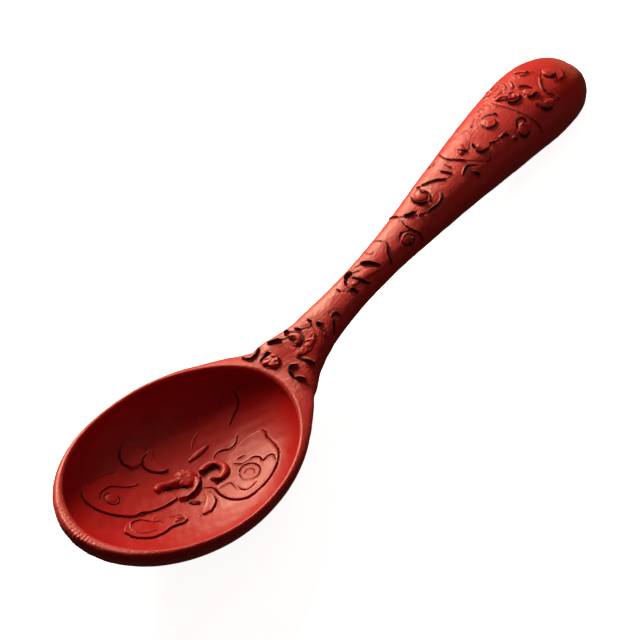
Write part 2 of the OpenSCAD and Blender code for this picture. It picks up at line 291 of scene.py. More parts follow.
def ground_normal(kind, spots):
    step_x, step_y = np.array([0.2, 0]), np.array([0, 0.2])
    on_x = ground(kind, spots + step_x) - ground(kind, spots - step_x)
    on_y = ground(kind, spots + step_y) - ground(kind, spots - step_y)
    normal = np.cross(on_x, on_y)
    return normal / np.linalg.norm(normal, axis=1, keepdims=True)


# ---------- laying it down ----------


def find_tilt(keel):
    """The angle that lays the underside of the bowl and of the handle's end on one plane."""
    bowl = keel[keel[:, 0] < BOWL_REST]
    end = keel[keel[:, 0] > END_REST]
    slopes = (end[None, :, 2] - bowl[:, None, 2]) / (end[None, :, 0] - bowl[:, None, 0])
    return math.atan(slopes.min(1).max())


KEEL_X = np.linspace(0.01, SPOON_LEN - 0.01, 1500)
KEEL = np.stack([KEEL_X, 0 * KEEL_X, middle(KEEL_X) - below(KEEL_X)], 1)
TILT = find_tilt(KEEL)
TURN = np.array([[math.cos(TILT), 0, math.sin(TILT)], [0, 1, 0], [-math.sin(TILT), 0, math.cos(TILT)]])
LAID = KEEL @ TURN.T
TIPS = np.array([[0, 0, MIDDLE_Z[0]], [SPOON_LEN, 0, MIDDLE_Z[-1]]])
SHIFT = np.array([-(TIPS @ TURN.T)[:, 0].mean(), 0, -LAID[:, 2].min() - FLAT_CUT])


def place(points):
    """From the spoon's own millimetres to the part's frame in metres, worn flat where it rests."""
    laid = points @ TURN.T + SHIFT
    laid[:, 2] = np.maximum(laid[:, 2], 0)
    return laid * MM


# ---------- carving ----------


def ripple(points, size, seed):
    """Smooth seeded noise of about that wavelength, from about -1 to 1: a sum of slanting waves."""
    rng = np.random.default_rng(seed)
    total = np.zeros(len(points))
    for _ in range(RIPPLE_COUNT):
        way = rng.normal(size=3)
        way *= 2 * math.pi / (size * rng.uniform(0.7, 1.5) * np.linalg.norm(way))
        total += np.sin(points @ way + rng.uniform(0, 2 * math.pi))
    return total / math.sqrt(2 * RIPPLE_COUNT)


def ring_points(x, y, radius, start, sweep):
    """Points of an arc round (x, y), from the angle start on over sweep degrees."""
    angles = np.radians(np.linspace(start, start + sweep, 3 + abs(sweep) // 40))
    return [(x + radius * math.cos(a), y + radius * math.sin(a)) for a in angles]


# Incised lines: (width, depth, points), in millimetres. A negative depth is a raised ridge.
# The points, like the leaves' outlines, were marked on the photo and converted by a scratch script.
BOWL_LINES = [
    (0.5, 0.4, [(14.9, 14.6), (13.7, 13.3), (13.3, 11.1), (14.4, 7.8), (17, 4.5), (20.3, 1.9),
     (22.4, 1.6), (24.3, 0.5), (28.1, -0.6), (32.7, -0.9)]),
    (0.35, -0.28, [(14.9, 14.6), (16.3, 15.7), (20.1, 16.1), (23.4, 16), (27.2, 15.3)]),
    (0.35, 0.25, [(27.2, 15.3), (27.7, 14.3), (27.9, 12.7), (29.2, 10.3), (29.4, 9.3)]),
    (0.45, 0.35, [(29.4, 9.3), (27.5, 9.2), (25.1, 10.5), (22.4, 12.5), (20, 12.5), (17.9, 11.8),
     (16.5, 10.2)]),
    (0.45, 0.35, [(23, -1.9), (24.5, -1.8), (26.9, -4.2), (29.5, -5.9), (29.4, -8), (27.5, -8.5)]),
    (0.5, 0.4, [(27.5, -8.5), (24.4, -7.4), (21.1, -7.7), (17.3, -6.8), (14.6, -4.1), (14.2, -1.3)]),
    (0.5, 0.35, [(16.6, -0.8), (18.3, 0.4), (20.5, -0.4), (21.9, -2.6)]),
    (0.3, 0.2, [(16.6, -0.8), (16.2, -3), (17.5, -4.7), (20.7, -5.6)]),
    (0.5, 0.35, [(26.1, -6.8), (28.8, -7.3)]),
    (0.3, 0.2, [(27.3, -6.2), (28.8, -6.8)]),
    (0.25, 0.15, [(22.1, -2.8), (23.7, -3.8), (23.5, -5.5)]),
    (0.6, 0.45, [(34, -3.2), (34.6, -5.2), (36.3, -6.8)]),
    (0.4, 0.3, [(39.9, -5), (39.6, -7.2), (38.2, -9.5), (35.7, -10.6), (33.9, -10.8), (32.1, -9.4)]),
    (0.5, 0.4, [(37, 14.2), (35, 13.8), (33.8, 12.1), (34.2, 9.8), (36, 7.8), (38.2, 7.3)]),
    (0.4, 0.3, [(32.3, 19.1), (30.8, 17.9), (30.1, 15.8), (31.1, 13.9)]),
    (0.35, -0.25, [(33.1, 19.7), (35.9, 19.9), (38.3, 17.9)]),
    (0.5, 0.4, [(39.7, -3), (41.3, -5.5), (40.6, -8.4), (40.8, -11.5), (41.8, -14.1), (43.7, -16),
     (46.9, -16.7)]),
    (0.45, 0.35, [(46.9, -16.7), (51.1, -16.4), (55.3, -15), (58.1, -13.1), (59.8, -10.3),
     (60.6, -6.9), (61.6, -5.1), (61.6, -3.6)]),
    (0.5, 0.4, [(50.1, -4.7), (51.3, -6.5), (54.1, -7.6), (55.1, -9.1), (54.7, -10.7), (56.3, -11.1),
     (57.2, -12.1), (56.2, -14)]),
    (0.4, 0.3, [(48.3, -8.2), (50, -7.1), (52, -7.8), (53, -9.8), (52.4, -11.9), (50.4, -13),
     (48.6, -12.1)]),
    (0.3, 0.2, [(48.6, -12.1), (47.6, -10.2), (48.3, -8.2)]),
    (0.25, 0.12, [(49.4, -8.9), (50.7, -8.9), (51.5, -10.2), (50.7, -11.5)]),
    (0.4, 0.3, [(45.2, -10.2), (44.8, -12.5), (45.8, -14), (48.5, -14.1)]),
    (0.3, 0.2, [(42, -6.9), (44.8, -8), (44.7, -9.5), (44.2, -11.1)]),
    (0.45, 0.35, [(57.3, 0.8), (55.3, -0.4), (53, -0.3), (51.4, 1), (49.8, 1.6), (48.4, 0.9)]),
    (0.5, 0.4, [(65, 9.5), (64.3, 7.3), (62.8, 5.8), (60.1, 5.1), (57.7, 4.2)]),
    (0.4, -0.4, [(61.4, 10.2), (62.7, 10.4), (63.4, 11.6), (64.6, 11.4), (65.3, 10.3)]),
    (0.4, 0.3, [(51.9, -4.4), (53.5, -5.2)]),
    (0.35, -0.25, [(46.4, 7.3), (48.6, 8.8), (50.8, 9.5)]),
    (0.45, 0.35, ring_points(19.8, 9.4, 1.9, 60, 300)),
    (0.6, 0.45, [(31.4, 3), (33.6, 3.1), (35.5, 1.5), (37.4, -0.1)]),
    (0.7, 0.5, [(34.3, -3), (37.4, -3.1), (40.5, -1.9), (42.2, 0.1)]),
    (0.6, 0.45, [(42.6, 0.6), (44.1, -0.1), (46.4, -0.6), (47, -2.3)]),
    (0.7, 0.5, [(47.1, -5.6), (44.9, -5.9), (43.2, -4.4), (43.4, -2.6)]),
]
NECK_LINES = [
    (0.75, 0.7, [(75.9, 9.6), (74.8, 9.1), (73.1, 8.8), (71.6, 9.3), (70.9, 11.3)]),
    (0.9, 0.8, [(76.2, 5.7), (75.4, 6.3), (74.3, 6.2), (72.7, 6.3)]),
    (0.5, 0.5, [(76.1, 3.4), (75.9, 2.5), (74.9, 1.4)]),
    (0.4, 0.35, [(72.2, 4.2), (72.6, 3.3), (73, 2.3)]),
    (0.8, 0.75, [(77.7, 8.2), (78.9, 6.8), (80.1, 5.3), (81.3, 3.9)]),
    (0.75, 0.75, [(81.5, 5.3), (82.3, 5.4), (83, 4.1), (83.4, 2.2)]),
    (0.65, 0.65, [(83.4, 2.2), (83.2, 0.7), (82.4, -0.4), (81.4, -0.5), (80.4, 0.6), (80, 1.5)]),
    (0.55, 0.5, [(81, 3.6), (81.5, 2.6), (81.6, 1.1)]),
    (0.65, 0.6, [(83.9, 4), (84.3, 2.5), (85.5, 1)]),
    (0.7, 0.65, [(85.4, 1), (86.3, 0.5), (87, 1.2)]),
    (0.6, 0.6, [(87.1, 2.4), (87.4, 1.1)]),
    (1.2, 0.9, [(87.5, -0.5), (87.8, -1.4), (88.3, -2)]),
    (0.5, 0.6, [(87.9, -2.2), (87.7, -2.6)]),
    (0.4, 0.4, [(87.5, -3), (86.9, -3.9), (86, -4.4)]),
    (1.2, 0.9, [(91.2, -2.7), (91.8, -2.4), (92.6, -2.8), (93, -3.7)]),
    (0.75, 0.8, [(90.9, -3.1), (89.9, -4.4), (88.5, -5.6)]),
    (0.4, -0.3, [(88.7, -6), (91.1, -3.9), (92.2, -3.7), (92.7, -4.3), (92.8, -5.1)]),
    (1.0, 0.85, [(78.3, -1.3), (78.7, -3.5), (79.3, -5.1), (79.6, -6.6)]),
    (0.9, 0.8, [(77, -2.8), (76, -1.7), (74.8, -2), (74.3, -3.4), (74, -4.5)]),
    (0.8, 0.75, [(74, -4.8), (74.9, -5.8), (75.4, -7.2)]),
    (0.35, -0.22, [(78.5, -0.8), (79.4, 0), (81.4, -0.5), (82.8, -1.3), (84, -2.5)]),
    (0.35, -0.22, [(84, -2.5), (85.3, -1.6), (86.2, 0)]),
]
HANDLE_LINES = [
    (0.5, 0.4, [(98.1, 1.6), (98.2, 0.3), (99.1, -0.3)]),
    (0.9, 0.7, [(99, -0.6), (100.5, -1.2), (101.1, -2.8)]),
    (0.9, 0.8, [(106.4, 2.5), (107.9, 1.2), (109.3, -0.1), (110.6, -2.3)]),
    (0.4, 0.4, [(102.5, 2.5), (104.2, 2.7), (106, 1.8)]),
    (0.9, 0.8, [(100.6, 0.8), (102.5, 1.8), (104.5, 1.5), (106, 0.4)]),
    (0.8, 0.7, [(103.1, 0.4), (103.9, -1.1), (105.2, -3.6)]),
    (0.35, 0.3, [(115.6, 4.2), (116.2, 1.8), (116.8, 0.4)]),
    (0.7, 0.7, [(116.6, 0.2), (115.7, -0.8), (114.4, -1.7), (113.2, -4.6)]),
    (0.3, 0.2, [(112.1, 4.2), (111.5, 1.6), (112.5, 0.9)]),
    (0.7, 0.7, [(118.8, -1.9), (120.3, -1.2), (121.8, -1.3), (123.2, -2.2)]),
    (0.9, 0.8, [(122.4, -2.7), (122.4, -3.8), (121.5, -4.7), (120.3, -4.9)]),
    (0.4, 0.4, [(119.5, -2), (119.4, -3.6), (119.9, -4.7)]),
    (0.4, 0.4, [(120.7, -2.2), (122.3, -2.6)]),
    (0.6, 0.5, [(124.2, 1.1), (123.4, -0.6), (123.8, -2.8), (124.5, -4.4), (124.5, -7.1)]),
    (0.6, 0.5, [(124, 5.3), (124.9, 2), (126.3, 0.3)]),
    (0.8, 0.7, [(125.6, 1), (126.8, 0.1), (128.5, -0.3)]),
    (0.4, 0.4, [(127.7, -0.6), (127.3, -1.4)]),
    (0.8, 0.75, [(136.4, -2), (135.5, -2.9), (133.5, -3.3), (130.8, -2.7), (127.7, -1.6)]),
    (0.55, 0.5, [(142.5, -0.9), (140.6, -0.8), (138.7, 0.8), (136.7, 2.4), (134.7, 3.7), (132.9, 3.5)]),
    (0.75, 0.7, [(131.4, 3.3), (130.4, 1.5), (131, -0.3), (132.9, -1.2)]),
    (0.45, 0.4, [(132.9, -1.2), (134, -0.5), (134.9, 0.5)]),
    (0.7, 0.7, [(134, 2.1), (133.6, 1.2), (134.4, 0.5)]),
    (0.6, 0.5, [(141.4, 1.6), (142, 0.2), (142.6, -0.9)]),
    (0.5, 0.4, [(143.9, 2.1), (143.8, 0.8), (143.7, 0)]),
    (0.4, 0.3, [(144.9, 2.1), (144.8, 1)]),
    (0.35, 0.3, [(144.3, 4.7), (142.7, 5), (141.5, 6.3)]),
    (0.5, 0.45, [(146.6, 6), (145.5, 2.6), (146.9, -0.2), (148.9, -2.8), (151.1, -5.5)]),
    (0.4, 0.35, [(151.1, -5.5), (152.4, -6.1), (153.4, -5.5)]),
    (0.8, 0.75, [(144, -3.3), (145.8, -2.7), (147.2, -3), (148.8, -4.4)]),
    (1.0, 0.8, [(146.9, -5), (147.5, -6.8)]),
    (0.6, 0.55, [(149.1, 1.7), (149.6, 0.3), (151, -0.1), (152.9, 0.7)]),
    (0.9, 0.8, [(152.6, -0.2), (152.2, -1)]),
    (0.75, 0.7, [(151.6, -1.7), (152.1, -3), (153.8, -3.7), (155.4, -3.6)]),
    (0.6, 0.5, [(155.5, -2.9), (157.3, -4), (159.5, -4.4)]),
    (1.0, 0.8, [(159.2, -4.3), (160.7, -4.7), (161.3, -5.6)]),
    (1.1, 0.8, [(162, -7), (162.1, -7.8)]),
    (1.0, 0.85, [(164.6, -5.9), (165.8, -4.6), (167.4, -4.7), (168.1, -6.2)]),
    (0.6, 0.6, [(168.1, -6.2), (166.6, -6.5), (165.5, -6.4)]),
    (0.75, 0.7, [(164, -6.5), (164.2, -8.5), (166, -9.6), (167.3, -9.2)]),
    (0.9, 0.75, [(160.8, 2.6), (162.5, 2), (164.1, 0.3)]),
    (0.5, 0.4, [(162.6, -0.3), (161.2, -1.3), (159.5, -0.9), (158.7, 0.1), (158.9, 1.6)]),
    (0.35, 0.3, [(154.1, 7.6), (155.4, 5.3), (157.1, 3.4), (159.5, 4.1), (162.7, 5.2), (166.2, 5.3)]),
    (0.25, 0.2, [(152.7, 5.4), (154.6, 4), (156.5, 2.6)]),
    (0.25, 0.2, [(158.3, 2.5), (160.9, 3.7), (164.1, 4.3)]),
    (0.45, 0.4, [(166.7, 4.4), (167.1, 1.4), (168.1, -2), (169.3, -5.6), (170.2, -9.4), (170.9, -13.3)]),
    (0.3, 0.25, [(165.8, 2.8), (167.3, -0.2), (168.1, -3), (169.4, -6.2)]),
    (0.8, 0.7, [(168.8, 1), (169.6, -0.6), (171.5, -1.1), (173.3, -0.7)]),
    (0.4, 0.35, [(171.6, 3.7), (171.5, 1.4), (173, 0.4)]),
    (0.6, 0.5, [(174.7, 1.1), (176.1, 0.5), (177.6, -1.6)]),
    (0.8, 0.7, [(173.7, -1.9), (174.5, -3), (176.9, -3.3)]),
    (0.45, 0.35, [(170, 7.1), (172.4, 6.3), (174.9, 7.1)]),
    (0.45, 0.35, [(171.4, 9.9), (172.2, 8.1), (174.2, 8.8)]),
    (0.45, 0.35, [(168.6, 4.2), (170.4, 3.7), (172.9, 4.4)]),
    (0.45, 0.35, [(168.5, 8), (169.1, 6.5), (170.5, 6.4)]),
    (0.45, 0.35, [(175.3, 6.9), (174.1, 4.1), (172.2, 3.2)]),
    (0.45, 0.35, [(176.4, 4.7), (175, 2.5), (173.1, 2)]),
    (0.35, 0.3, [(168.2, 2.6), (169.9, 1.7), (170.2, 0.8)]),
    (0.5, 0.4, [(178.6, 3.2), (180.3, 2.1), (182.7, 1.5)]),
    (0.3, 0.25, [(178.8, 5.8), (178.2, 3.8)]),
    (0.5, 0.4, [(184.6, 0.4), (181.7, -0.9), (179.4, -2.6), (178.7, -4.7), (180.3, -7.3)]),
    (0.6, 0.5, [(183.3, -0.9), (183.6, -2.3), (185.7, -2.7), (187.9, -1.7)]),
    (0.45, 0.35, [(183.4, -3.5), (185.9, -4.3), (188.6, -3.6), (189.9, -1.8)]),
    (0.9, 0.75, [(173.9, -6.5), (174.9, -8.1), (176.7, -9.1)]),
    (0.4, 0.35, [(180.3, -7.3), (180.4, -8.5), (178.2, -7.8)]),
    (0.4, 0.3, [(175.5, -4.9), (175.8, -6.3)]),
]
LINES = {"bowl": BOWL_LINES, "neck": NECK_LINES, "handle": HANDLE_LINES}

# How the lines are cut: that many times as wide and as deep as above, with narrow ends, steep walls
# and a lip.
LINE_WIDE = {"bowl": 0.89, "neck": 1.0, "handle": 1.0}
LINE_DEEP = 1.4
LINE_END = 0.45
WALL_POWER = 3.5
LIP_RISE = 0.1

# The cut share, which the materials turn into painted shade: its value at a cut's edge, from 0 to 1, and
# over how many millimetres it goes from 0 to 1.
EDGE_SHADE = 0.4
SHADE_BAND = 0.4

# The knife's ridges across the rim, and the angles round the bowl's tip at which they start and end.
MARK_DEEP = 0.14
MARK_PITCH = 1.15
MARK_ANGLES = (-0.55, -0.35, 0.15, 0.4)


def stroke_track(kind, width, points):
    """Dense points of one incised line on the bare surface, with its half width at each."""
    t = np.linspace(0, len(points) - 1, LINE_STEPS * len(points) + 6)
    track = ground(kind, along(points, t))
    half = 0.5 * width * (LINE_END + (1 - LINE_END) * dome(2 * t / t[-1] - 1))
    return track, half


def carve_line(base, kind, width, depth, points, move, cut):
    """Adds one incised line or raised ridge to the moves and the cut shares of the bare points."""
    track, half = stroke_track(kind, width, points)
    low, high = track.min(0) - 2 * width, track.max(0) + 2 * width
    near = np.where(((base > low) & (base < high)).all(1))[0]
    if not len(near):
        return
    gap = np.linalg.norm(base[near][:, None, :] - track[None, :, :], axis=2) - half[None, :]
    nearest = gap.argmin(1)
    edge = gap[np.arange(len(near)), nearest]
    inner = clip(-edge / half[nearest])
    bottom = abs(depth) * (0.6 + 0.4 * half[nearest] / half.max())
    if depth < 0:
        move[near] = np.maximum(move[near], bottom * dome(1 - inner))
        return
    sunk = LINE_DEEP * bottom * (1 - (1 - inner) ** WALL_POWER)
    lip_wide = 0.12 + 0.3 * width
    lip = LIP_RISE * np.exp(-((np.maximum(edge, 0) / lip_wide) ** 2)) * (edge > 0)
    move[near] = np.where(inner > 0, np.minimum(move[near], -sunk), np.maximum(move[near], lip))
    # The cut share marks where the materials paint shade into the groove, reaching a little past its
    # edge.
    cut[near] = np.maximum(cut[near], clip(EDGE_SHADE - edge / SHADE_BAND))


def carve(base, kinds):
    """How far the incised lines of these kinds move the surface at these bare points, and how much
    each point is inside a cut, from 0 outside to 1 well inside."""
    move = np.zeros(len(base))
    cut = np.zeros(len(base))
    for kind in kinds:
        for width, depth, points in LINES[kind]:
            wide = width * (LINE_WIDE[kind] if depth > 0 else 1)
            carve_line(base, kind, wide, depth, points, move, cut)
    return move, cut


def tool_marks(base):
    """Ridges left by the knife across the rim at the bowl's tip."""
    x, y = base[:, 0], base[:, 1]
    angle = np.arctan2(-y / BOWL_HALF, (BOWL_FRONT - x) / BOWL_FRONT)
    where = smooth(*MARK_ANGLES[:2], angle) * (1 - smooth(*MARK_ANGLES[2:], angle))
    # Neither on the rim's inner edge nor down the bowl's side.
    where *= smooth(0.6, 1.6, distance_out(x, y)) * smooth(-3.5, -1.0, base[:, 2])
    wave = np.sin(2 * math.pi * angle * BOWL_HALF / MARK_PITCH + 1.2 * ripple(base, 6, seed=41))
    return -MARK_DEEP * where * (0.5 + 0.5 * wave)


def hand_finish(base, rough):
    """Slow waviness of a hand-carved surface under a thick coat, and finer grit where it is rough."""
    waves = WAVE_RISE * ripple(base, WAVE_LEN, seed=3)
    dimples = DIMPLE_RISE * ripple(base, DIMPLE_LEN, seed=5)
    return waves + dimples + rough * ripple(base, GRIT_LEN, seed=7)


# ---------- meshes ----------


def mesh_normals(points, faces):
    """Unit vertex normals of a mesh with triangles and four-sided faces."""
    normals = np.zeros_like(points)
    for size in (3, 4):
        some = np.array([f for f in faces if len(f) == size])
        first, second, third, last = (points[some[:, i]] for i in (0, 1, 2, -1))
        across = np.cross(third - first, last - second)
        for corner in range(size):
            np.add.at(normals, some[:, corner], across)
    return normals / np.maximum(np.linalg.norm(normals, axis=1, keepdims=True), 1e-12)


def make_object(name, points, faces, material, cut):
    """A smooth shaded object from points in the spoon's millimetres, with their cut shares."""
    mesh = bpy.data.meshes.new(name)
    mesh.from_pydata(place(points).tolist(), [], [list(map(int, f)) for f in faces])
    mesh.polygons.foreach_set("use_smooth", [True] * len(mesh.polygons))
    attribute = mesh.attributes.new("cut", "FLOAT", "POINT")
    attribute.data.foreach_set("value", cut)
    mesh.materials.append(material)
    mesh.update()
    made = bpy.data.objects.new(name, mesh)
    bpy.context.scene.collection.objects.link(made)
    return made


def attach(piece, node):
    """Puts a piece on the spoon in place of a CAD node."""
    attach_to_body(piece, "root")
    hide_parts(node)


def grid_faces(rows, columns, start=0, wrap=False):
    """Four-sided faces of a grid of points, row after row. wrap joins the last column to the first."""
    last = columns if wrap else columns - 1
    return [
        (
            start + r * columns + c,
            start + r * columns + (c + 1) % columns,
            start + (r + 1) * columns + (c + 1) % columns,
            start + (r + 1) * columns + c,
        )
        for r in range(rows - 1)
        for c in range(last)
    ]


def merge_points(points, faces, same):
    """The mesh without the points that stand for another one. same holds the point that each uses."""
    faces = [tuple(same[list(f)]) for f in faces]
    used = np.unique(np.concatenate([np.array(f) for f in faces]))
    order = np.full(len(points), -1)
    order[used] = np.arange(len(used))
    return points[used], [tuple(order[list(f)]) for f in faces]


def coat_stations():
    """Places along the spoon, closer together at both of its ends."""
    quarter = math.pi / 2
    tip = RIM_TIP * (1 - np.cos(np.linspace(0, quarter, TIP_STEPS + 1)))[1:-1]
    angle = np.linspace(0, math.pi, MOUTH_STEPS + 1)
    mouth = BOWL_FRONT - np.where(angle < quarter, MOUTH_FRONT, HOLLOW_REAR) * np.cos(angle)
    rest = np.linspace(BOWL_FRONT + HOLLOW_REAR, SPOON_LEN - END_LEN, GRIP_STEPS + 1)[1:]
    end = SPOON_LEN - END_LEN * (1 - np.sin(np.linspace(0, quarter, END_STEPS + 1)))[1:-1]
    return np.concatenate([tip, mouth, rest, end])


def side_rings(x):
    """Half rings of the skin at the stations x, from the hollow's edge or the top line to the keel."""
    x = x[:, None]
    wide = half_width(x)
    edge = np.minimum(mouth_y(x), 0.999 * wide)
    turn = np.sin(np.linspace(0, math.pi / 2, TOP_COLUMNS + 1))[None, :]
    top_y = edge + (wide - edge) * turn
    top = np.stack([x + 0 * top_y, top_y, top_z(x + 0 * top_y, top_y)], 2)
    power = UNDER_POWER + (HANDLE_POWER - UNDER_POWER) * turned(x)
    angle = (math.pi / 2) * np.linspace(0, 1, SIDE_COLUMNS + 1)[None, 1:] ** SIDE_SPREAD
    low_y = wide * np.maximum(0, np.cos(angle)) ** (2 / power)
    low_y[:, -1] = 0
    low_z = middle(x) - below(x) * np.sin(angle) ** (2 / power)
    low = np.stack([x + 0 * low_y, low_y, low_z], 2)
    return np.concatenate([top, low], 1)


def pare_flank(ring):
    """Slims the neck's flank, most where it is widest and not at all in the half next to the middle."""
    x, y = ring[..., 0], ring[..., 1]
    where = smooth(PARE_FROM, PARE_MOST, x) * (1 - smooth(PARE_MOST, PARE_TO, x))
    outer = smooth(0.5, 1.0, np.abs(y) / half_width(x))
    return np.stack([x, y * (1 - PARE_SHARE * where * outer), ring[..., 2]], -1)


def coat_mesh():
    """Rings along the spoon, open over the hollow and closed before and behind it, with both tips."""
    x = coat_stations()
    half = side_rings(x)
    mirrored = pare_flank(half[:, ::-1] * np.array([1, -1, 1]))
    ring = np.concatenate([half, mirrored[:, 1:]], 1)
    rows, columns = ring.shape[:2]
    count, last = rows * columns, (rows - 1) * columns
    points = np.concatenate([ring.reshape(-1, 3), TIPS])
    faces = grid_faces(rows, columns)
    faces += [(count, c + 1, c) for c in range(columns - 1)]
    faces += [(count + 1, last + c, last + c + 1) for c in range(columns - 1)]
    same = np.arange(len(points))
    row = np.arange(rows)
    closed = columns * row[(row < TIP_STEPS) | (row >= TIP_STEPS - 1 + MOUTH_STEPS)]
    same[closed + columns - 1] = closed
    return merge_points(points, faces, same)


def build_coat(material):
    """The red coat on the rim, the outside of the bowl and the handle."""
    points, faces = coat_mesh()
    normals = mesh_normals(points, faces)
    move, cut = carve(points, ["neck", "handle"])
    from_hollow = np.abs(distance_out(points[:, 0], points[:, 1]))
    move *= smooth(0, CUT_FADE, from_hollow)
    finish = hand_finish(points, COAT_GRIT) + tool_marks(points)
    move += finish * smooth(0, WAVE_FADE, from_hollow)
    piece = make_object("coat", points + normals * move[:, None], faces, material, cut)
    attach(piece, "outer_coat")


def build_lining(material):
    """The red coat inside the bowl: rings from the hollow's edge to its middle."""
    spokes = 4 * MOUTH_STEPS
    reach = np.sin(np.linspace(math.pi / 2, 0, LINING_RINGS + 1))[:-1, None]
    angle = np.linspace(0, 2 * math.pi, spokes, endpoint=False)[None, :]
    length = np.where(np.cos(angle) > 0, MOUTH_FRONT, HOLLOW_REAR)
    x = BOWL_FRONT - reach * length * np.cos(angle)
    y = reach * MOUTH_HALF * np.sin(angle)
    spots = np.append(np.stack([x.ravel(), y.ravel()], 1), [[BOWL_FRONT, 0.0]], 0)
    points = ground("bowl", spots)
    faces = [f[::-1] for f in grid_faces(LINING_RINGS, spokes, wrap=True)]
    last, centre = (LINING_RINGS - 1) * spokes, LINING_RINGS * spokes
    faces += [(centre, last + (c + 1) % spokes, last + c) for c in range(spokes)]
    normals = mesh_normals(points, faces)
    move, cut = carve(points, ["bowl"])
    inside = np.append(1 - reach.repeat(spokes, 1).ravel(), 1)
    move += hand_finish(points, LINING_GRIT) * smooth(0, 0.12, inside)
    piece = make_object("lining", points + normals * move[:, None], faces, material, cut)
    attach(piece, "bowl_lining")


def build_core(material):
    """The wooden core under the coat, set back a little where lines are cut into the handle and neck."""
    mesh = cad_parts["wood_core"].data.copy()
    neck = place(np.array([[TURN_FROM, 0.0, 0.0]]))[0, 0]
    places = np.array([v.co for v in mesh.vertices])
    normals = np.array([v.normal for v in mesh.vertices])
    begun = smooth(neck - CORE_BACK_BEFORE * MM, neck + CORE_BACK_AFTER * MM, places[:, 0])
    mesh.vertices.foreach_set("co", (places - normals * CORE_BACK * MM * begun[:, None]).ravel())
    mesh.materials.clear()
    mesh.materials.append(material)
    core = bpy.data.objects.new("core", mesh)
    bpy.context.scene.collection.objects.link(core)
    attach(core, "wood_core")


# ---------- raised ornament ----------


def raised(kind, spots, height, rough, seed):
    """Points at a height above the bare surface, roughened and carved like it, with their cut
    shares, and the points of the base below them."""
    base = ground(kind, spots)
    normal = ground_normal(kind, spots)
    move, cut = carve(base, LINES)
    lumps = rough * ripple(base, 1.5, seed) + 0.5 * rough * ripple(base, 0.7, seed + 1)
    shown = np.where(height > 0, 0.3 + 0.7 * clip(height / 0.3), 0)
    rise = height + move + (lumps + hand_finish(base, 0.0)) * shown
    return base + normal * rise[:, None], cut, base - normal * SINK_BOTTOM


def closed_patch(kind, spots, height, rows, columns, wrap, rough, seed):
    """A closed lump on the surface, from a grid of places and heights."""
    top, cut, bottom = raised(kind, spots, height, rough, seed)
    count = rows * columns
    upper = grid_faces(rows, columns, wrap=wrap)
    lower = [f[::-1] for f in grid_faces(rows, columns, count, wrap)]
    if wrap:
        outline = [(rows - 1) * columns + c for c in range(columns)]
        caps = [tuple(range(columns))[::-1], tuple(count + c for c in range(columns))]
    else:
        outline = list(range(columns))
        outline += [r * columns + columns - 1 for r in range(1, rows)]
        outline += [(rows - 1) * columns + c for c in range(columns - 2, -1, -1)]
        outline += [r * columns for r in range(rows - 2, 0, -1)]
        caps = []
    walls = [(b, a, count + a, count + b) for a, b in zip(outline, outline[1:] + outline[:1])]
    if wrap:
        walls = [w[::-1] for w in walls]
    return np.concatenate([top, bottom]), upper + lower + walls + caps, np.concatenate([cut, cut * 0])


def bulge(u, power):
    """Height share across a lump, from 1 in the middle to 0 at its edge."""
    return np.maximum(0, 1 - np.abs(u) ** power) ** (1 / power)


def strip(kind, path, half, rise, seed, power=2.0, rough=0.0):
    """A lump along a path, with a half width at each of the path's points and rounded ends."""
    last = len(path) - 1
    rows = STRIP_STEPS * last + 9
    t = np.linspace(0, last, rows)
    mid = along(path, t)
    way = along(path, np.minimum(last, t + 0.02)) - along(path, np.maximum(0, t - 0.02))
    side = np.stack([-way[:, 1], way[:, 0]], 1) / np.linalg.norm(way, axis=1, keepdims=True)
    length = np.append(0, np.cumsum(np.linalg.norm(np.diff(mid, axis=0), axis=1)))
    from_end = np.minimum(length, length[-1] - length)
    wide = np.maximum(LEAST_HALF, along(half, t))
    ending = dome(1 - clip(from_end / (0.9 * wide)))
    wide = wide * np.maximum(0.12, ending)
    u = np.sin(np.linspace(-math.pi / 2, math.pi / 2, STRIP_COLUMNS))
    spots = mid[:, None, :] + side[:, None, :] * (wide[:, None] * u[None, :])[:, :, None]
    height = rise * bulge(u, power)[None, :] * np.sqrt(ending)[:, None]
    edge = (np.abs(u)[None, :] > 0.9999) | (from_end[:, None] <= 0)
    height = np.where(edge, -SINK_TOP, height).ravel()
    return closed_patch(kind, spots.reshape(-1, 2), height, rows, STRIP_COLUMNS, False, rough, seed)


def pad(kind, centre, outline, rise, seed, power=3.0, rough=0.0, rings=26, edge=0.55):
    """A low plateau inside a closed outline, which every line from its centre crosses once."""
    spokes = PAD_STEPS * len(outline) + 40
    closed = list(outline[-2:]) + list(outline) + list(outline[:2])
    border = along(closed, 2 + np.linspace(0, len(outline), spokes, endpoint=False))
    centre = np.array(centre, float)
    reach = np.linalg.norm(border - centre, axis=1)
    ring = np.sin(np.linspace(0.04, math.pi / 2, rings))
    spots = centre + ring[:, None, None] * (border - centre)[None, :, :]
    inward = (1 - ring)[:, None] * reach[None, :]
    height = rise * bulge(1 - clip(inward / edge), power)
    height[-1] = -SINK_TOP
    return closed_patch(kind, spots.reshape(-1, 2), height.ravel(), rings, spokes, True, rough, seed)


def oval(kind, centre, long, wide, turn, rise, seed, power=2.0, rough=0.0):
    """A domed oval lump, turned by that many degrees."""
    c, s = math.cos(math.radians(turn)), math.sin(math.radians(turn))
    outline = []
    for a in np.radians(np.arange(0, 360, 30)):
        x, y = long * math.cos(a), wide * math.sin(a)
        outline.append((centre[0] + x * c - y * s, centre[1] + x * s + y * c))
    return pad(kind, centre, outline, rise, seed, power, rough, rings=18, edge=wide)


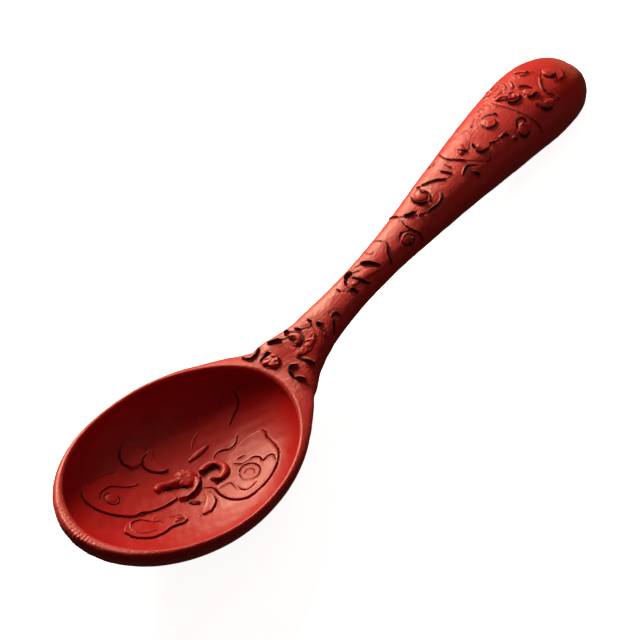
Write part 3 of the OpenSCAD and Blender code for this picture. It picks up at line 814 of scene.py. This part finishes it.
LEFT_LEAF = [
    (14.9, 14.6), (16.3, 15.7), (20.1, 16.1), (23.4, 16), (27.2, 15.3), (27.9, 12.7), (29.5, 9.3),
    (30.7, 5.7), (32.8, 1.6), (32.8, -0.8), (28.2, -0.5), (24.4, 0.6), (20.4, 2), (17.1, 4.6),
    (14.5, 7.9), (13.3, 11.2), (13.8, 13.4),
]
LOWER_LEAF = [
    (14.6, -0.4), (16.5, 0.9), (19.4, 0.9), (22.7, -1.7), (24.4, -1.9), (26.9, -4.2), (29.5, -6),
    (29.4, -8), (27.6, -8.5), (24.4, -7.4), (21.2, -7.6), (17.4, -6.7), (14.7, -3.9), (14.2, -1.3),
]
RIGHT_LEAF = [
    (41.5, -5.9), (40.8, -9), (41.2, -12.4), (42.5, -14.8), (44.8, -16.2), (49, -16.6), (54.1, -15.4),
    (57.9, -13.2), (59.8, -10.3), (60.5, -7), (61.6, -4.8), (61.2, -3.3), (57.9, -1.7), (54.1, -1.5),
    (50.9, -3.3), (46.8, -6.1),
]
ROUND_PETAL = [
    (32.3, 19.1), (30.8, 17.9), (30.1, 15.8), (31.1, 13.7), (34.1, 13.3), (37.2, 14.6), (38.1, 17.2),
    (37, 19.2), (34.8, 20),
]
ROUGH_BOSS = [
    (72.6, 5.9), (72.2, 5), (72.6, 4.1), (73.2, 2.2), (74.4, 1.4), (75.7, 1.7), (76.3, 3),
    (75.9, 5.2), (74.6, 5.6),
]

# The raised pieces: CAD node and its patches. Every patch is one closed lump.
BOWL_ORNAMENT = {
    "flower_heart": [
        oval("bowl", (39, 2.3), 3.3, 2.9, -35, FLOWER_RISE, power=2.4, rough=0.08, seed=11)],
    "flower_left_arm": [
        strip("bowl", [(30.2, 4), (32, 4.9), (34.6, 3.9), (37.8, 2.4)], [1.15, 1.25, 1.1, 1.1],
              FLOWER_RISE, rough=0.03, seed=12)],
    "flower_right_scroll": [
        strip("bowl", [(42.6, 0.8), (45.6, 0.7), (47.4, -0.6), (48, -2.8), (46.7, -4.4), (44.6, -4.8),
                       (43, -3.7)],
              [1.0, 1.05, 1.15, 1.3, 1.3, 1.15, 0.9], FLOWER_RISE, rough=0.02, seed=13)],
    "flower_tail": [
        strip("bowl", [(40.8, 0.7), (39.9, -1.2), (37.5, -2.5), (34.7, -2.4), (32.7, -1.3)],
              [1.2, 1.2, 1.05, 0.8, 0.5], 0.85 * FLOWER_RISE, rough=0.05, seed=14)],
    "sliver_leaf": [
        strip("bowl", [(43.3, 5.5), (47, 5.3), (50.4, 5)], [0.3, 0.8, 0.25], LEAF_RISE, power=2.6,
              rough=0.02, seed=15)],
    "crescent_petal": [
        strip("bowl", [(39.2, 14.6), (36.7, 13.2), (35.9, 10.2), (37.8, 7.2)], [0.4, 1.5, 1.8, 0.4],
              LEAF_RISE, power=3.5, seed=16)],
    "round_petal": [pad("bowl", (34.2, 16.8), ROUND_PETAL, LEAF_RISE, seed=17)],
    "left_leaf": [pad("bowl", (23.1, 9), LEFT_LEAF, LEAF_RISE, seed=18, rings=80)],
    "left_leaf_eye": [
        oval("bowl", (19.9, 9.5), 1.7, 1.6, 0, 1.6 * LEAF_RISE, power=3, rough=0.02, seed=19)],
    "lower_leaf": [pad("bowl", (21.4, -4.3), LOWER_LEAF, LEAF_RISE, seed=20, rings=60)],
    "lower_petals": [
        strip("bowl", [(39.1, -4.8), (38.1, -7.8), (35.8, -9.2), (32.9, -9.7)], [0.5, 1.4, 1.4, 0.4],
              LEAF_RISE, power=3.5, seed=21),
        strip("bowl", [(33.8, -3.8), (34.8, -4.9), (35.6, -6.3)], [0.5, 0.9, 0.3], LEAF_RISE, power=3,
              seed=22)],
    "right_leaf": [pad("bowl", (50.7, -10.1), RIGHT_LEAF, LEAF_RISE, seed=23, rings=80)],
    "right_leaf_eye": [
        oval("bowl", (50.5, -9.9), 2.2, 1.7, 60, 1.1 * LEAF_RISE, power=3, rough=0.02, seed=24)],
}
HANDLE_ORNAMENT = {
    "neck_boss": [
        pad("neck", (74.4, 3.7), ROUGH_BOSS, 1.1 * KNOB_RISE, power=2.6, rough=0.13, seed=25, rings=22,
            edge=1.2)],
    "neck_scroll": [
        strip("neck", [(81.1, 4), (82.1, 3.2), (82.4, 1.6), (81.7, 0.7), (80.7, 1)],
              [0.5, 0.6, 0.7, 0.7, 0.5], KNOB_RISE, rough=0.02, seed=26)],
    "neck_leaf": [
        strip("neck", [(78.8, -1), (80.8, -2.2), (82.8, -2.2), (85.4, -1.3)], [0.4, 1.2, 1.5, 0.5],
              0.5 * KNOB_RISE, power=2.6, rough=0.08, seed=27)],
    "grip_leaf": [
        strip("handle", [(101.3, -0.8), (104.2, -0.8), (107.3, -1.5), (109.9, -3)], [0.4, 1, 1.2, 0.4],
              0.5 * KNOB_RISE, rough=0.03, seed=28)],
    "grip_eye": [oval("handle", (120.9, -3), 1.6, 1.5, 0, 0.6 * KNOB_RISE, rough=0.03, seed=29)],
    "spiral_knob": [oval("handle", (133, 1.5), 2, 1.8, 20, KNOB_RISE, rough=0.03, seed=30)],
    "bud_pair": [
        oval("handle", (149.9, 1.1), 1.8, 0.9, 30, 0.7 * KNOB_RISE, rough=0.03, seed=31),
        strip("handle", [(152.5, -1.3), (153.5, -2.5), (154.1, -4.1)], [0.7, 1, 0.5], 0.8 * KNOB_RISE,
              rough=0.04, seed=32)],
    "round_knob": [oval("handle", (160.7, 0.3), 2.1, 1.7, -20, KNOB_RISE, rough=0.03, seed=33)],
    "eye_scroll": [oval("handle", (165.8, -7.4), 1.9, 1.6, 60, KNOB_RISE, rough=0.03, seed=34)],
    "feather_leaf": [
        strip("handle", [(168.1, 3.2), (170.5, 1.9), (172.3, 0.4), (172.7, -1.1)], [0.5, 1.4, 1.2, 0.4],
              KNOB_RISE, power=2.4, rough=0.09, seed=35)],
    "lip_knob": [oval("handle", (175.5, -2.3), 2.2, 1.3, -55, KNOB_RISE, rough=0.05, seed=36)],
    "lower_lip": [
        strip("handle", [(173.5, -4.6), (175.4, -6.5), (177.2, -7.6), (179.1, -8.6)],
              [0.5, 1.3, 1.4, 0.5], KNOB_RISE, rough=0.05, seed=37)],
    "end_leaf": [
        strip("handle", [(179.7, 5.5), (181.3, 4.5), (181.7, 2.4)], [0.6, 1.2, 0.5], 0.8 * KNOB_RISE,
              rough=0.03, seed=38)],
    "end_knob": [oval("handle", (185.1, -1.2), 1.7, 1.5, 0, KNOB_RISE, rough=0.03, seed=39)],
}


def build_ornament(ornament, material):
    """One piece for each CAD node, from its closed lumps."""
    for node, patches in ornament.items():
        points, faces, cut = [], [], []
        for patch_points, patch_faces, patch_cut in patches:
            start = sum(len(p) for p in points)
            points.append(patch_points)
            cut.append(patch_cut)
            faces += [tuple(start + i for i in f) for f in patch_faces]
        points, cut = np.concatenate(points), np.concatenate(cut)
        attach(make_object(node + "_relief", points, faces, material, cut), node)


# ---------- materials ----------

# The coat's red from its dark to its light patches, where the tone is 1, and the near-black red painted
# into the cuts as their shade.
DARK_RED = (0.38, 0.006, 0.007)
LIGHT_RED = (0.48, 0.006, 0.007)
SPECK_RED = (0.44, 0.007, 0.008)
CUT_SHADE_RED = (0.025, 0.0005, 0.0005)
# Painted shade on the reflection in the cuts: the specular tint there.
CUT_SHADE_SHINE = (0.3, 0.01, 0.01)
SHEEN_TINT = (1, 0.7, 0.5, 1)


def new_material(name):
    material = bpy.data.materials.new(name)
    material.use_nodes = True
    nodes = material.node_tree.nodes
    return material, nodes, material.node_tree.links, nodes["Principled BSDF"]


def noise(nodes, links, where, scale, detail=3.0, roughness=0.5):
    node = nodes.new("ShaderNodeTexNoise")
    node.inputs["Scale"].default_value = scale
    node.inputs["Detail"].default_value = detail
    node.inputs["Roughness"].default_value = roughness
    links.new(where, node.inputs["Vector"])
    return node.outputs["Fac"]


def ramp(nodes, links, value, *stops):
    """A colour ramp between two stops. A stop is a place from 0 to 1 and the colour there."""
    node = nodes.new("ShaderNodeValToRGB")
    for element, (stop, colour) in zip(node.color_ramp.elements, stops):
        element.position = stop
        element.color = (*colour, 1)
    links.new(value, node.inputs["Fac"])
    return node.outputs["Color"]


def mix(nodes, links, share, one, other):
    """The colour of the link one where the share is 0, and the plain colour other where it is 1."""
    node = nodes.new("ShaderNodeMix")
    node.data_type = "RGBA"
    links.new(share, node.inputs["Factor"])
    links.new(one, node.inputs["A"])
    node.inputs["B"].default_value = (*other, 1)
    return node.outputs["Result"]


def bump(nodes, links, height, strength, distance, after=None):
    node = nodes.new("ShaderNodeBump")
    node.inputs["Strength"].default_value = strength
    node.inputs["Distance"].default_value = distance
    links.new(height, node.inputs["Height"])
    if after is not None:
        links.new(after, node.inputs["Normal"])
    return node.outputs["Normal"]


def red_material(name, tone, roughness, shine, sheen, grit, hatch):
    """Thick satin cinnabar coat: uneven colour, painted shade in the cuts on its colour and its
    reflection, with grit and brush hatching.
    """
    material, nodes, links, shader = new_material(name)
    where = nodes.new("ShaderNodeTexCoord").outputs["Object"]
    dark, light, speck = ((tone * c[0], *c[1:]) for c in (DARK_RED, LIGHT_RED, SPECK_RED))
    patches = noise(nodes, links, where, scale=70, detail=4)
    colour = ramp(nodes, links, patches, (0.3, dark), (0.7, light))
    colour = mix(nodes, links, noise(nodes, links, where, scale=900, detail=2), colour, speck)
    depth = nodes.new("ShaderNodeAttribute")
    depth.attribute_name = "cut"
    shade = ramp(nodes, links, depth.outputs["Fac"], (0.22, (0, 0, 0)), (0.65, (1, 1, 1)))
    # Painted shade: the colour turns to the near-black cut red where the cut share is high.
    links.new(mix(nodes, links, shade, colour, CUT_SHADE_RED), shader.inputs["Base Color"])
    # Painted shade on the reflection: the specular tint goes dark red in the cuts.
    tint = ramp(nodes, links, shade, (0, (1, 1, 1)), (1, CUT_SHADE_SHINE))
    links.new(tint, shader.inputs["Specular Tint"])
    smoother, rougher = (roughness - 0.06,) * 3, (roughness + 0.08,) * 3
    worn = noise(nodes, links, where, scale=160, detail=5)
    links.new(ramp(nodes, links, worn, (0.3, smoother), (0.7, rougher)), shader.inputs["Roughness"])
    shader.inputs["IOR"].default_value = 1.5
    shader.inputs["Specular IOR Level"].default_value = shine
    shader.inputs["Sheen Weight"].default_value = sheen
    shader.inputs["Sheen Roughness"].default_value = 0.45
    shader.inputs["Sheen Tint"].default_value = SHEEN_TINT
    slanted = nodes.new("ShaderNodeMapping")
    slanted.inputs["Rotation"].default_value = (0.2, 0.1, math.radians(38))
    slanted.inputs["Scale"].default_value = (1, 3.2, 1)
    links.new(where, slanted.inputs["Vector"])
    strokes = noise(nodes, links, slanted.outputs["Vector"], scale=680, detail=2, roughness=0.6)
    grain = noise(nodes, links, where, scale=1500, detail=3, roughness=0.6)
    normal = bump(nodes, links, strokes, hatch, distance=0.0005)
    normal = bump(nodes, links, grain, grit, distance=0.0002, after=normal)
    links.new(normal, shader.inputs["Normal"])
    return material


def wood_material():
    """Fine straight limewood grain along the spoon."""
    material, nodes, links, shader = new_material("limewood")
    where = nodes.new("ShaderNodeTexCoord").outputs["Object"]
    stretched = nodes.new("ShaderNodeMapping")
    stretched.inputs["Scale"].default_value = (1, 14, 14)
    links.new(where, stretched.inputs["Vector"])
    grain = noise(nodes, links, stretched.outputs["Vector"], scale=60, detail=5)
    colour = ramp(nodes, links, grain, (0.3, (0.56, 0.40, 0.22)), (0.7, (0.76, 0.60, 0.38)))
    links.new(colour, shader.inputs["Base Color"])
    shader.inputs["Roughness"].default_value = 0.7
    links.new(bump(nodes, links, grain, strength=0.3, distance=0.0002), shader.inputs["Normal"])
    return material


def floor_material():
    """Plain pale studio paper, which glows a little so that it stays even."""
    material, nodes, links, shader = new_material("pale floor")
    where = nodes.new("ShaderNodeTexCoord").outputs["Object"]
    spread = noise(nodes, links, where, scale=12)
    colour = ramp(nodes, links, spread, (0.2, (0.9, 0.9, 0.9)), (0.8, (0.93, 0.93, 0.93)))
    links.new(colour, shader.inputs["Base Color"])
    shader.inputs["Roughness"].default_value = 0.9
    shader.inputs["Emission Color"].default_value = (1, 1, 1, 1)
    shader.inputs["Emission Strength"].default_value = 0.93
    return material


# ---------- camera, floor and lights ----------

# The camera, in the spoon's own millimetres before it is laid down.
CAMERA_AZIMUTH = math.radians(-48.52)
CAMERA_RISE = math.radians(45.79)
CAMERA_ROLL = math.radians(-0.5)
CAMERA_DISTANCE = 480.4
CAMERA_TARGET = np.array([89.73, 0.37, 8.13])
LENS = 102.38

# In metres: half the floor's side, and what the lights face, the spoon's middle or its grip.
FLOOR_HALF = 3.0
SPOON_MIDDLE = (0, 0, 0.02)
SPOON_GRIP = (0.06, 0, 0.025)


def screen_axes():
    """The camera's right, up and backward directions before the spoon is laid down."""
    a, e = CAMERA_AZIMUTH, CAMERA_RISE
    back = np.array([math.sin(a) * math.cos(e), -math.cos(a) * math.cos(e), math.sin(e)])
    right = np.cross(-back, [0, 0, 1])
    right /= np.linalg.norm(right)
    up = np.cross(back, right)
    c, s = math.cos(CAMERA_ROLL), math.sin(CAMERA_ROLL)
    return c * right + s * up, c * up - s * right, back


def make_camera():
    right, up, back = (TURN @ axis for axis in screen_axes())
    eye = place(CAMERA_TARGET[None, :])[0] + back * CAMERA_DISTANCE * MM
    data = bpy.data.cameras.new("camera")
    data.lens = LENS
    data.clip_start = 0.01
    data.clip_end = 10
    camera = bpy.data.objects.new("camera", data)
    rows = [[right[i], up[i], back[i], eye[i]] for i in range(3)]
    camera.matrix_world = Matrix(rows + [[0, 0, 0, 1]])
    bpy.context.scene.collection.objects.link(camera)
    bpy.context.scene.camera = camera


def make_floor():
    """A flat square that throws no light on the spoon and is not mirrored in it."""
    corners = [(x * FLOOR_HALF, y * FLOOR_HALF, 0) for x, y in ((-1, -1), (1, -1), (1, 1), (-1, 1))]
    mesh = bpy.data.meshes.new("floor")
    mesh.from_pydata(corners, [], [(0, 1, 2, 3)])
    mesh.materials.append(floor_material())
    floor = bpy.data.objects.new("floor", mesh)
    bpy.context.scene.collection.objects.link(floor)
    floor.visible_diffuse = False
    floor.visible_glossy = False


def make_light(name, direction, distance, size, power, colour, aim=SPOON_MIDDLE):
    """A soft square light, that far from the place it faces."""
    data = bpy.data.lights.new(name, "AREA")
    data.size = size
    data.energy = power
    data.color = colour
    light = bpy.data.objects.new(name, data)
    way = Vector(direction).normalized()
    light.location = way * distance + Vector(aim)
    light.rotation_euler = way.to_track_quat("Z", "Y").to_euler()
    bpy.context.scene.collection.objects.link(light)
    return light


def make_lights():
    """A warm key light, a weak fill from above, two small lights on the grip, and the room's glow."""
    make_light("key", (0.3, 1.0, 0.56), distance=0.45, size=0.19, power=4.7, colour=(1, 0.83, 0.58))
    fill = make_light("fill", (-0.1, -0.1, 1.0), distance=1.2, size=0.8, power=0.2,
                      colour=(1, 0.75, 0.65))
    fill.visible_glossy = False
    make_light("crown", (0.25, 0, 1.0), distance=0.14, size=0.1, power=0.038,
               colour=(1, 0.68, 0.48), aim=SPOON_GRIP)
    make_light("side", (0.45, -1.0, 0.3), distance=0.2, size=0.12, power=0.018,
               colour=(1, 0.55, 0.45), aim=SPOON_GRIP)
    world = bpy.data.worlds.new("studio")
    world.use_nodes = True
    background = world.node_tree.nodes["Background"]
    background.inputs["Color"].default_value = (1, 0.5, 0.42, 1)
    background.inputs["Strength"].default_value = 0.055
    bpy.context.scene.world = world


coat_red = red_material("red coat", tone=0.93, roughness=0.44, shine=0.4, sheen=0.2, grit=0.35, hatch=0.3)
# The lining is the coat's red made darker, a painted shade for the bowl's hollow and the relief in it;
# its finer grit and hatching are the smoother inside's own.
shaded_lining_red = red_material("red lining", tone=0.78, roughness=0.42, shine=0.22, sheen=0.0, grit=0.15,
                          hatch=0.1)
build_coat(coat_red)
build_lining(shaded_lining_red)
build_ornament(BOWL_ORNAMENT, shaded_lining_red)
build_ornament(HANDLE_ORNAMENT, coat_red)
build_core(wood_material())
make_floor()
make_camera()
make_lights()
bpy.context.scene.view_settings.view_transform = "Standard"
